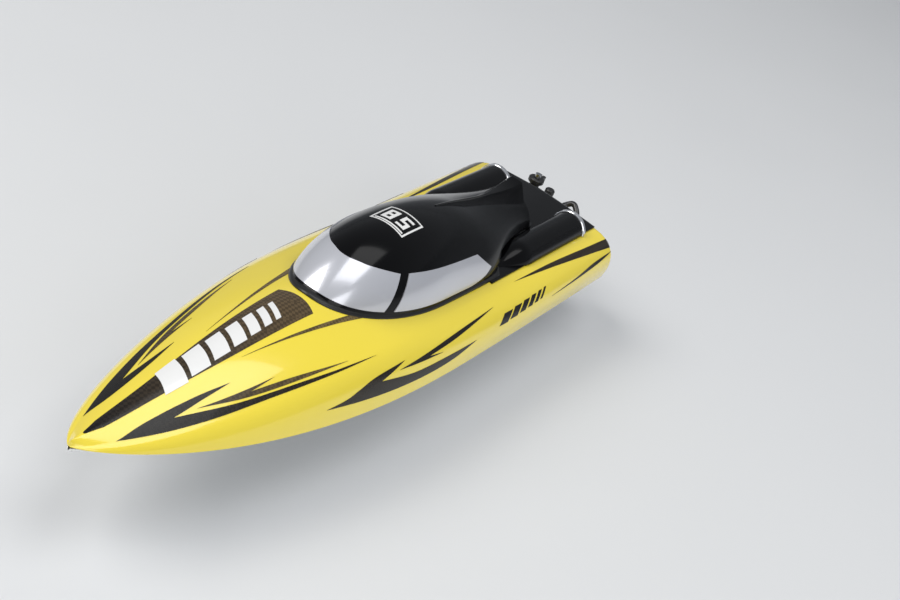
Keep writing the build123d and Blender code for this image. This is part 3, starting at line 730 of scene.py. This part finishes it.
def pods():
    """Half-sunk engine tubes on the rear deck, and the bright rim on each."""
    nose = [(0, 136), (3.6, 136), (4.4, 136.6), (4.9, 138)]
    nose += [(4.9 + 9.6 * ease((k / 12) * 0.9 + 0.05), 138 + 34 * k / 12) for k in range(1, 13)]
    barrel = [(14.5, 176), (14.5, 267.6), (14.1, 268), (12.9, 268)]
    barrel += [(12.7, 267.6), (12.7, 180), (11.5, 178), (0, 178)]
    rim = [(12.7, 267.2), (12.9, 266.7), (15.2, 266.7), (15.8, 267.3)]
    rim += [(15.8, 270.6), (15.2, 271.2), (13.2, 271.2), (12.7, 270.7)]
    for name, x in (("port", POD_X), ("starboard", -POD_X)):
        pod = turned("pod_" + name, nose + barrel, (x, POD_Z))
        combine(pod, below_deck(1.0))
        dress(pod, paint["black_gloss"], "hull", "black_gloss", "engine_pod_" + name)
        ring = turned("rim_" + name, rim + rim[:1], (x, POD_Z))
        combine(ring, below_deck(1.0))
        dress(ring, paint["rim_silver"], "hull", "rim_silver")
    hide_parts("pod_rims")


def seal():
    """Rubber bead round the hatch opening, a little wider at the nose."""
    path = plan(0, 160)
    outline = [(-1.5, -0.6), (-1.6, 0.8), (-1.1, 1.6), (0.0, 2.1)]
    outline += [(1.4, 2.3), (2.8, 2.1), (3.6, 1.2), (3.6, -0.6)]
    rows = []
    count = len(path)
    for k, (x, y) in enumerate(path):
        (xa, ya), (xb, yb) = path[k - 1], path[(k + 1) % count]
        across = Vector((yb - ya, xa - xb)).normalized()
        if across.dot(Vector((x, y - 60))) < 0:
            across = -across
        stretch = 1.5 * max(0, (HATCH_MID - y) / HATCH_NOSE) ** 10
        row = []
        for inward, height in outline:
            shift = stretch if inward < 1 else 0
            px = x - across.x * (inward - shift)
            py = y - across.y * (inward - shift)
            row.append((px, py, deck(py, px) + height))
        rows.append(row)
    bm = bmesh.new()
    grid_faces(bm, rows, close_rows=True, close_columns=True)
    ring = finish_mesh("seal", bm)
    return dress(ring, paint["seal_rubber"], "hull", "seal_rubber", "hatch_seal")


def upright(name, profile, x, y, steps=40):
    """Solid of revolution about an upright line; the profile is (radius, z) points from axis to axis."""
    bm = bmesh.new()
    rows = []
    for k in range(steps):
        angle = 2 * pi * k / steps
        rows.append([(x + r * cos(angle), y + r * sin(angle), z) for r, z in profile])
    grid_faces(bm, rows, close_rows=True)
    bmesh.ops.remove_doubles(bm, verts=bm.verts, dist=1e-4)
    return finish_mesh(name, bm)


def stern_gear():
    """Split clamp on the rudder's pin, and the moulded end of the pushrod over the tiller."""
    pin_x, pin_y, arm = -26.0, 331.0, 16.0
    ring = [(0, 57.3), (6.4, 57.3), (7.2, 58.1), (7.2, 61.2), (6.4, 62), (0, 62)]
    grip = upright("tiller_clamp", ring, pin_x, pin_y)
    for name, x0, x1 in (("a", -3.4, -0.5), ("b", 0.5, 3.4)):
        near, far = pin_y + 4, pin_y + 12
        outline = [(pin_x + x0, near), (pin_x + x1, near), (pin_x + x1, far), (pin_x + x0, far)]
        combine(grip, prism("lug_" + name, outline, 57.6, 61.7), "UNION")
    dress(grip, paint["black_plastic"], "rudder", "black_plastic")
    cup = [(0, 53.5), (3.8, 53.5), (4.4, 54.1), (4.4, 58.4), (3.6, 59.4), (0, 59.8)]
    end = upright("rod_end", cup, pin_x + arm, pin_y)
    outline = [(pin_x + arm + dx, pin_y - dy) for dx, dy in ((-2.4, 9), (2.4, 9), (2.4, 2), (-2.4, 2))]
    combine(end, prism("shank", outline, 53.7, 57.5), "UNION")
    dress(end, paint["black_plastic"], "pushrod", "black_plastic")


# ------------------------------------------------------------------ canopy hatch
TAIL = 17.0
FIN_START = 71.0
RIDGE_START, RIDGE_GAP = 72, 3
RIDGE_STEPS = 60


def fin_foot(y):
    """Half-width of the fin at its foot: a quick start, then a spread that grows aft."""
    t = (y - FIN_START) / (HATCH_END - FIN_START)
    return (3 + 12.5 * t ** 1.6) * (0.27 + 0.73 * min(1, t / 0.06))


FOOT_RISE = 1.6


def canopy_rows(lift=0.0):
    """Sections of the canopy from nose to tail, lowered by lift, and the ramp behind the last one."""
    us = [k / 48 for k in range(-48, 49)]
    ys = [-75.5, -74.5, -73, -71]
    y = -68.0
    while y < HATCH_END - 0.5:
        ys.append(y)
        y += 2.5
    ys.append(HATCH_END)
    rows = []
    for y in ys:
        foot = deck(y, body_half(y)) + FOOT_RISE
        rows.append([(x, y, max(z - lift, foot)) for x, y, z in (canopy(y, u) for u in us)])
    last = rows[-1]
    for k in range(1, 11):
        s = k / 10
        row = []
        for x, y, z in last:
            px, py = x * (1 - 0.2 * s), HATCH_END + TAIL * s ** 1.3
            low = deck(py, px) + 1.7
            row.append((px, py, low + max(0, z - low) * (1 - s) ** 1.6))
        rows.append(row)
    return rows


RIDGE_Z, RIDGE_FALL = 117.3, 11.3
RIDGE_SAG, SAG_PEAK = 5.5, 0.148


def fin_ring(y, t):
    """Half section of the fin from ridge to foot. The ridge sags most two thirds of the way aft."""
    sag = RIDGE_SAG * t * t * (1 - t) / SAG_PEAK
    top = RIDGE_Z - RIDGE_FALL * t - sag
    crest = 0.6 + 4.6 * ease((t - 0.55) / 0.45)
    foot = fin_foot(y)
    low = canopy_top(y, foot) - 0.8
    power = 1.8 - 0.9 * ease((t - 0.4) / 0.6)
    ring = [(0.0, y, top + 0.25)]
    for j in range(13):
        f = j / 12
        ring.append((crest + (foot - crest) * f ** power, y, top + (low - top) * f))
    return ring


def fin():
    """Wedge on the roof: a crisp ridge, hollow flanks that spread aft, and a scooped tail."""
    rows = []
    for k in range(RIDGE_STEPS + 1):
        t = k / RIDGE_STEPS
        rows.append(fin_ring(RIDGE_START + (HATCH_END - RIDGE_GAP - RIDGE_START) * t, t))
    last = rows[-1]
    for k in range(1, 11):
        s = k / 10
        row = []
        for x, y, z in last:
            px, py = x * (1 - 0.25 * s), y + (TAIL + 2) * s ** 1.3
            low = deck(py, px) + 1.0
            row.append((px, py, low + (z - low) * (1 - s) ** 1.8))
        rows.append(row)
    full = []
    for ring in rows:
        full.append([(-x, y, z) for x, y, z in reversed(ring[1:])] + ring)
    bm = bmesh.new()
    verts = grid_faces(bm, full)
    for a, b in zip(verts, verts[1:]):
        bm.faces.new((a[0], b[0], b[-1], a[-1]))
    bm.faces.new(verts[0])
    bm.faces.new(verts[-1][::-1])
    bmesh.ops.remove_doubles(bm, verts=bm.verts, dist=1e-4)
    return finish_mesh("fin", bm, 28)


SLEEVE = 16.2
SLEEVE_Y, SLEEVE_Z, SLEEVE_RAKE = 127, 69, 0.8
SLEEVE_END = 290


def sleeve_front(z):
    return SLEEVE_Y + (z - SLEEVE_Z) * SLEEVE_RAKE


def pod_sleeve(name, x0, radius, shift=0.0):
    """Round bar about a pod's axis with a raked front, used to cut the canopy back from the pod."""
    bm = bmesh.new()
    rings = []
    for back in (False, True):
        ring = []
        for k in range(64):
            angle = 2 * pi * k / 64
            z = POD_Z + radius * sin(angle)
            ring.append((x0 + radius * cos(angle), SLEEVE_END if back else sleeve_front(z) + shift, z))
        rings.append(ring)
    verts = grid_faces(bm, rings, close_columns=True)
    bm.faces.new(verts[0])
    bm.faces.new(verts[1][::-1])
    return finish_mesh(name, bm)


BLOCK_START = 95


def canopy_block():
    """Solid inside of the canopy, from just under its skin to just over the deck."""
    rows = [row for row in canopy_rows(0.4) if row[0][1] > BLOCK_START]
    bm = bmesh.new()
    top = grid_faces(bm, rows)
    low_rows = [[(x, y, deck(y, x) + 0.9) for x, y, z in row] for row in rows]
    bottom = [[bm.verts.new(p) for p in row] for row in low_rows]
    for a, b in zip(bottom, bottom[1:]):
        for k in range(len(a) - 1):
            bm.faces.new((a[k + 1], a[k], b[k], b[k + 1]))
    for upper, lower, flip in ((top[0], bottom[0], 1), (top[-1], bottom[-1], -1)):
        for k in range(len(upper) - 1):
            bm.faces.new((upper[k], lower[k], lower[k + 1], upper[k + 1])[::flip])
    for column in (0, -1):
        for k in range(len(top) - 1):
            quad = (top[k][column], top[k + 1][column], bottom[k + 1][column], bottom[k][column])
            bm.faces.new(quad if column == 0 else quad[::-1])
    bmesh.ops.remove_doubles(bm, verts=bm.verts, dist=1e-4)
    return finish_mesh("canopy_block", bm)


def canopy_pieces():
    """Canopy cut back round the pods, with a dark liner in each recess, and the fin."""
    shell = sheet("canopy_shell", canopy_rows(), 2.0)
    for x in (POD_X, -POD_X):
        combine(shell, pod_sleeve("sleeve", x, SLEEVE))
    dress(shell, paint["black_gloss"], "hatch", "black_gloss", "canopy")
    for name, x in (("port", POD_X), ("starboard", -POD_X)):
        liner = pod_sleeve("intake_" + name, x, SLEEVE + 1.2, -1.5)
        combine(liner, pod_sleeve("core", x, SLEEVE))
        combine(liner, canopy_block(), "INTERSECT")
        dress(liner, paint["black_plastic"], "hatch", "black_gloss")
    dress(fin(), paint["black_gloss"], "hatch", "black_gloss")


def mirror_chain(chain):
    return [(y, -u) for y, u in reversed(chain)]


BAND = 4.6
SILL_Z, SILL_FALL = 101.0, 0.095
SHIELD_TOP_Y, SHIELD_TOP_Z = -46.0, 108.0
PILLAR_Y = -15.0
PANE_HEEL, PANE_CORNER = (112, 0.78), (102, 0.865)
GLASS, GLASS_BACK = 0.7, -0.6


def u_at(y, z):
    """Place across the canopy where it has the height z."""
    foot = deck(y, body_half(y))
    share = clamp((z - foot) / (roof(y) - foot))
    return math.acos(share ** (0.5 / FULLNESS)) * 2 / pi


def edge(height, start, end, count=7):
    """Window edge along the canopy whose height in side view is a function of y."""
    ys = [start + (end - start) * k / (count - 1) for k in range(count)]
    return [(y, u_at(y, height(y))) for y in ys]


def low_height(y):
    return deck(y, body_half(y)) + BAND


def sill_height(y):
    return SILL_Z - SILL_FALL * (y + 5)


def shield_height(y):
    run = (y - SHIELD_TOP_Y) / (PILLAR_Y - SHIELD_TOP_Y)
    return SHIELD_TOP_Z - 6 * max(0, run) ** 1.3


def shield_foot(end, count=12):
    """Lower edge of the windshield from its nose, where the roof is BAND above the deck."""
    nose, aft = HATCH_MID - HATCH_NOSE + 0.1, end
    for _ in range(40):
        middle = (nose + aft) / 2
        if roof(middle) > low_height(middle):
            aft = middle
        else:
            nose = middle
    ys = [nose + (end - nose) * (k / count) ** 2 for k in range(1, count + 1)]
    return [(nose, 0.0)] + [(y, u_at(y, low_height(y))) for y in ys]


def windows():
    """Wrap-round windshield and a side window on each side, just proud of the canopy."""
    low_edge = shield_foot(-32)
    top_edge = edge(shield_height, PILLAR_Y, -45) + [(SHIELD_TOP_Y, 0.0)]
    pillar = [low_edge[-1], top_edge[0]]
    port_half = [low_edge, pillar, top_edge]
    chains = port_half + [mirror_chain(c) for c in reversed(port_half)]
    shield = patch("windshield_panel", chains, canopy, GLASS, GLASS_BACK)
    dress(shield, paint["window_silver"], "hatch", "window_silver", "windshield")
    upper = edge(sill_height, -6, 90)
    lower = edge(low_height, 84, -22)
    ports = [[lower[-1], upper[0]], upper, [upper[-1], PANE_HEEL], [PANE_HEEL, PANE_CORNER] + lower]
    pane = patch("side_pane_port", ports, canopy, GLASS, GLASS_BACK)
    dress(pane, paint["window_silver"], "hatch", "window_silver", "side_window_port")
    others = [mirror_chain(c) for c in reversed(ports)]
    pane = patch("side_pane_starboard", others, canopy, GLASS, GLASS_BACK)
    dress(pane, paint["window_silver"], "hatch", "window_silver", "side_window_starboard")


# ------------------------------------------------------------------ printed foils
FOIL, FOIL_BACK = 0.22, -0.25


def foil(name, chains, mat, slot_name="black_gloss", lift=0.0):
    piece = patch(name, chains, topside, FOIL + lift, FOIL_BACK + 1.5 * lift)
    return dress(piece, mat, "hull", slot_name)


def both_sides(name, chains, mat):
    foil(name + "_port", chains, mat)
    foil(name + "_starboard", [mirror_chain(c) for c in reversed(chains)], mat)


def v_at(y, x):
    return x / shoulder(y)[0] * DECK_V


def deck_foils():
    edge = [(-289, 0.02), (-287, 0.07), (-276, 0.135)]
    flank = [(-276, 0.135), (-252, 0.122), (-228, 0.122), (-176, 0.142), (-133, 0.150), (-90, 0.155)]
    back = [(-90, 0.155), (-87, 0.08), (-86.5, 0.0)]
    chains = [edge, flank, back, mirror_chain(back), mirror_chain(flank), mirror_chain(edge)]
    chains.append([(-289, -0.02), (-289, 0.02)])
    foil("bow_panel", chains, panel_foil)
    both_sides("bow_chevron", [
        [
            (-274, 0.503), (-246, 0.528), (-211, 0.537), (-172, 0.538),
            (-144, 0.548), (-98, 0.574), (-62, 0.584),
        ],
        [(-62, 0.584), (-106, 0.547), (-142, 0.516), (-181, 0.488), (-203, 0.460), (-233, 0.403)],
        [(-233, 0.403), (-210, 0.350), (-184, 0.317)],
        [(-184, 0.317), (-211, 0.298), (-238, 0.312), (-258, 0.370), (-274, 0.503)],
    ], foil_black)
    both_sides("bow_accent", [
        [(-215, 0.400), (-191, 0.452), (-170, 0.480), (-141, 0.500), (-89, 0.528)],
        [(-89, 0.528), (-139, 0.470), (-174, 0.441)],
        [(-174, 0.441), (-152, 0.417)],
        [(-152, 0.417), (-176, 0.416), (-198, 0.410), (-215, 0.400)],
    ], foil_brown)
    both_sides("seal_stripe", [
        [(-165, 0.186), (-138, 0.215), (-101, 0.258), (-71, 0.294), (-49, 0.325)],
        [(-49, 0.325), (-61, 0.268)],
        [(-61, 0.268), (-90, 0.244), (-119, 0.220), (-165, 0.186)],
    ], foil_brown)


def side_foils():
    both_sides("side_chevron", [
        [(-119, 0.867), (-85, 0.897), (-47, 0.915), (-6, 0.918), (29, 0.900), (61, 0.849)],
        [(61, 0.849), (13, 0.857), (-25, 0.855), (-63, 0.811)],
        [(-63, 0.811), (-50, 0.775), (-35, 0.729)],
        [(-35, 0.729), (-68, 0.757), (-86, 0.804), (-99, 0.842), (-119, 0.867)],
    ], side_foil)
    both_sides("side_accent", [
        [(-42, 0.786), (-25, 0.772), (-8, 0.756), (40, 0.705), (93, 0.661)],
        [(93, 0.661), (60, 0.712), (27, 0.757), (-5, 0.786)],
        [(-5, 0.786), (13, 0.806)],
        [(13, 0.806), (-17, 0.800), (-42, 0.786)],
    ], side_foil)
    both_sides("stern_upper", [
        [(137, 0.563), (200, 0.565), (260, 0.590), (301, 0.609)],
        [(301, 0.609), (301, 0.700)],
        [(301, 0.700), (260, 0.655), (200, 0.603), (137, 0.563)],
    ], foil_black)
    both_sides("stern_lower", [
        [(183, 0.833), (225, 0.795), (262, 0.748), (298, 0.735)],
        [(298, 0.735), (280, 0.765), (262, 0.785), (225, 0.812), (183, 0.833)],
    ], side_foil)


def slanted_bar(name, y0, y1, low, high, slant, mat, slot_name, lift=0.0):
    """Bar across a strip of the deck or side; its high edge is shifted along y by slant."""
    chains = [
        [(y0, low), (y1, low)],
        [(y1, low), (y1 + slant, high)],
        [(y1 + slant, high), (y0 + slant, high)],
        [(y0 + slant, high), (y0, low)],
    ]
    return foil(name, chains, mat, slot_name, lift=lift)


DECK_BARS, DECK_START, DECK_WIDTH, DECK_GAP, DECK_SHRINK = 7, -228.0, 19.0, 4.5, 2.3
SIDE_BARS, SIDE_START, SIDE_WIDTH, SIDE_GAP, SIDE_SHRINK = 6, 96.0, 13.0, 4, 1.9
SIDE_V, SIDE_CLIMB, SIDE_HALF = 0.797, 0.00062, 0.043
WHITE_LIFT = 0.22


def bars():
    """Plain slanted bars on the bow panel and on each flank, which get narrower aft."""
    y, width = DECK_START, DECK_WIDTH
    for k in range(DECK_BARS):
        spread = 8.2 - 0.2 * k
        low, high = v_at(y, spread), v_at(y + 6, -spread)
        name = f"deck_bar_{k}"
        slanted_bar(name, y, y + width, low, high, 8, white_foil, "hull_white", WHITE_LIFT)
        y += width + DECK_GAP
        width -= DECK_SHRINK
    y, width = SIDE_START, SIDE_WIDTH
    for k in range(SIDE_BARS):
        centre = SIDE_V - SIDE_CLIMB * (y - SIDE_START)
        low, high = centre + SIDE_HALF, centre - SIDE_HALF
        for side_name, sign in (("port", 1), ("starboard", -1)):
            name = f"side_bar_{side_name}_{k}"
            slanted_bar(name, y, y + width, sign * low, sign * high, 9, side_foil, "black_gloss")
        y += width + SIDE_GAP
        width -= SIDE_SHRINK


def roof_number():
    """Plain start number in a frame, with a bar below it."""
    y0, y1, x1 = 2.0, 31.0, 14.6

    def roof_at(y, x):
        half = hatch_half(y)
        return canopy(y, math.asin(clamp(x / half, -1, 1)) * 2 / pi)

    def block(name, ya, yb, xa, xb):
        chains = [[(ya, xa), (yb, xa)], [(yb, xa), (yb, xb)], [(yb, xb), (ya, xb)], [(ya, xb), (ya, xa)]]
        piece = patch(name, chains, roof_at, FOIL, FOIL_BACK, scale=1.0, step=2.0)
        dress(piece, white_foil, "hatch", "hull_white")

    def frame_strip(name, inset, width):
        a, b, c = y0 + inset, y1 - inset, x1 - inset
        block(name + "_a", a, a + width, -c, c)
        block(name + "_b", b - width, b, -c, c)
        block(name + "_c", a + width + 0.01, b - width - 0.01, c - width, c)
        block(name + "_d", a + width + 0.01, b - width - 0.01, -c, width - c)

    frame_strip("number_frame", 0.0, 1.3)
    block("number_bar", y0 + 2.4, y0 + 4.0, 2.4 - x1, x1 - 2.4)
    # each digit is three bars across and four along, of which some are left out
    digits = {"5": "afgcd", "8": "abcdefg"}
    half, tall, thick = 4.2, 16.0, 2.7
    for digit, centre in (("5", 6.2), ("8", -6.2)):
        top, mid, base = 9.0, 9.0 + tall / 2, 9.0 + tall
        spans = {
            "a": (top, top + thick, -half, half),
            "g": (mid - thick / 2, mid + thick / 2, -half, half),
            "d": (base - thick, base, -half, half),
            "f": (top + thick, mid - thick / 2, half - thick, half),
            "b": (top + thick, mid - thick / 2, -half, thick - half),
            "e": (mid + thick / 2, base - thick, half - thick, half),
            "c": (mid + thick / 2, base - thick, -half, thick - half),
        }
        for part in digits[digit]:
            ya, yb, xa, xb = spans[part]
            block(f"digit_{digit}_{part}", ya, yb, centre + xa, centre + xb)


upper_shell()
lower_shell()
rear_cover()
pods()
seal()
stern_gear()
canopy_pieces()
windows()
deck_foils()
side_foils()
bars()
roof_number()


# ------------------------------------------------------------------ studio
def lamp(name, place, aim, size, power, tint=(1, 1, 1)):
    light = bpy.data.lights.new(name, "AREA")
    light.energy = power
    light.color = tint
    light.size = size
    obj = link(name, light)
    place, aim = Vector(place), Vector(aim)
    obj.location = place
    obj.rotation_euler = (aim - place).to_track_quat("-Z", "Y").to_euler()


def studio():
    low = cad_box[0][2]
    bm = bmesh.new()
    rows = []
    for k in range(25):
        angle = pi / 2 * k / 24
        rise = 4 * (1 - cos(angle))
        reach = 8 + 4 * sin(angle)
        rows.append([(x, reach, low + rise) for x in (-16, 16)])
    rows.insert(0, [(x, -14, low) for x in (-16, 16)])
    grid_faces(bm, rows)
    mesh = bpy.data.meshes.new("floor")
    bm.to_mesh(mesh)
    bm.free()
    mesh.polygons.foreach_set("use_smooth", [True] * len(mesh.polygons))
    floor = link("floor", mesh)
    pale = material(
        "floor_pale", (0.72, 0.73, 0.74), 0.7, vary=0.03, cloud=2, grain=200, bump=0.00005, specular=0.2,
    )
    floor.data.materials.append(pale)
    lamp("key", (-1.7, -1.6, 2.6), (0, 0, 0), 1.9, 66, tint=(1, 0.98, 0.95))
    lamp("fill", (2.6, -1.6, 1.5), (0, 0, 0.05), 2.4, 38)
    lamp("top", (0.6, 0.3, 2.8), (0, 0.05, 0), 2.0, 30)
    world = bpy.data.worlds.new("studio")
    world.use_nodes = True
    sky = world.node_tree.nodes["Background"]
    socket(sky, "Color", (0.80, 0.84, 0.9, 1))
    socket(sky, "Strength", 0.32)
    bpy.context.scene.world = world
    bpy.context.scene.view_settings.view_transform = "Standard"


studio()
